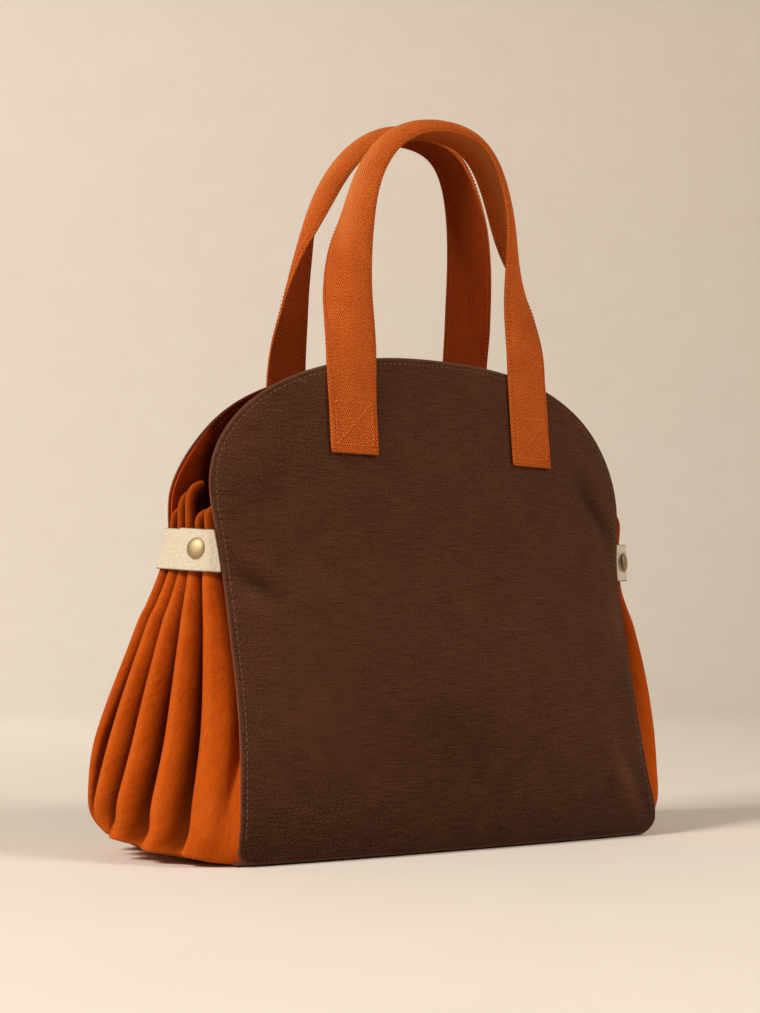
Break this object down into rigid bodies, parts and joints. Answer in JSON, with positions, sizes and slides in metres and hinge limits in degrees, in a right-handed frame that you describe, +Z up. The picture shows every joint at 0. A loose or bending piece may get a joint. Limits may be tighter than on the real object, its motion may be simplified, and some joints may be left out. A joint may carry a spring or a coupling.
{
  "type": "handbag",
  "caption": "Open-topped canvas handbag with domed panels, pleated side gussets drawn in by snap tabs, and upright webbing handles.",
  "frame": {"origin": "middle of the base's underside, on the surface that the bag stands on", "axes": "+X along the panels' width, +Y from the front panel to the back panel, +Z up"},
  "size_m": [0.4352, 0.1784, 0.5451],
  "materials": {
    "canvas": "matte brown canvas",
    "lining": "matte rust cotton",
    "gusset": "brushed rust cotton twill",
    "tab": "natural cream twill tape",
    "snap": "antique satin brass",
    "webbing": "rust herringbone webbing"
  },
  "bodies": {
    "root": {"base_panel": "canvas", "front_panel": "canvas", "back_panel": "canvas", "front_lining": "lining", "back_lining": "lining", "left_gusset": "gusset", "right_gusset": "gusset", "left_tab_front": "tab", "left_tab_back": "tab", "right_tab_front": "tab", "right_tab_back": "tab", "left_snap": "snap", "right_snap": "snap", "front_handle": "webbing", "back_handle": "webbing"}
  },
  "joints": []
}
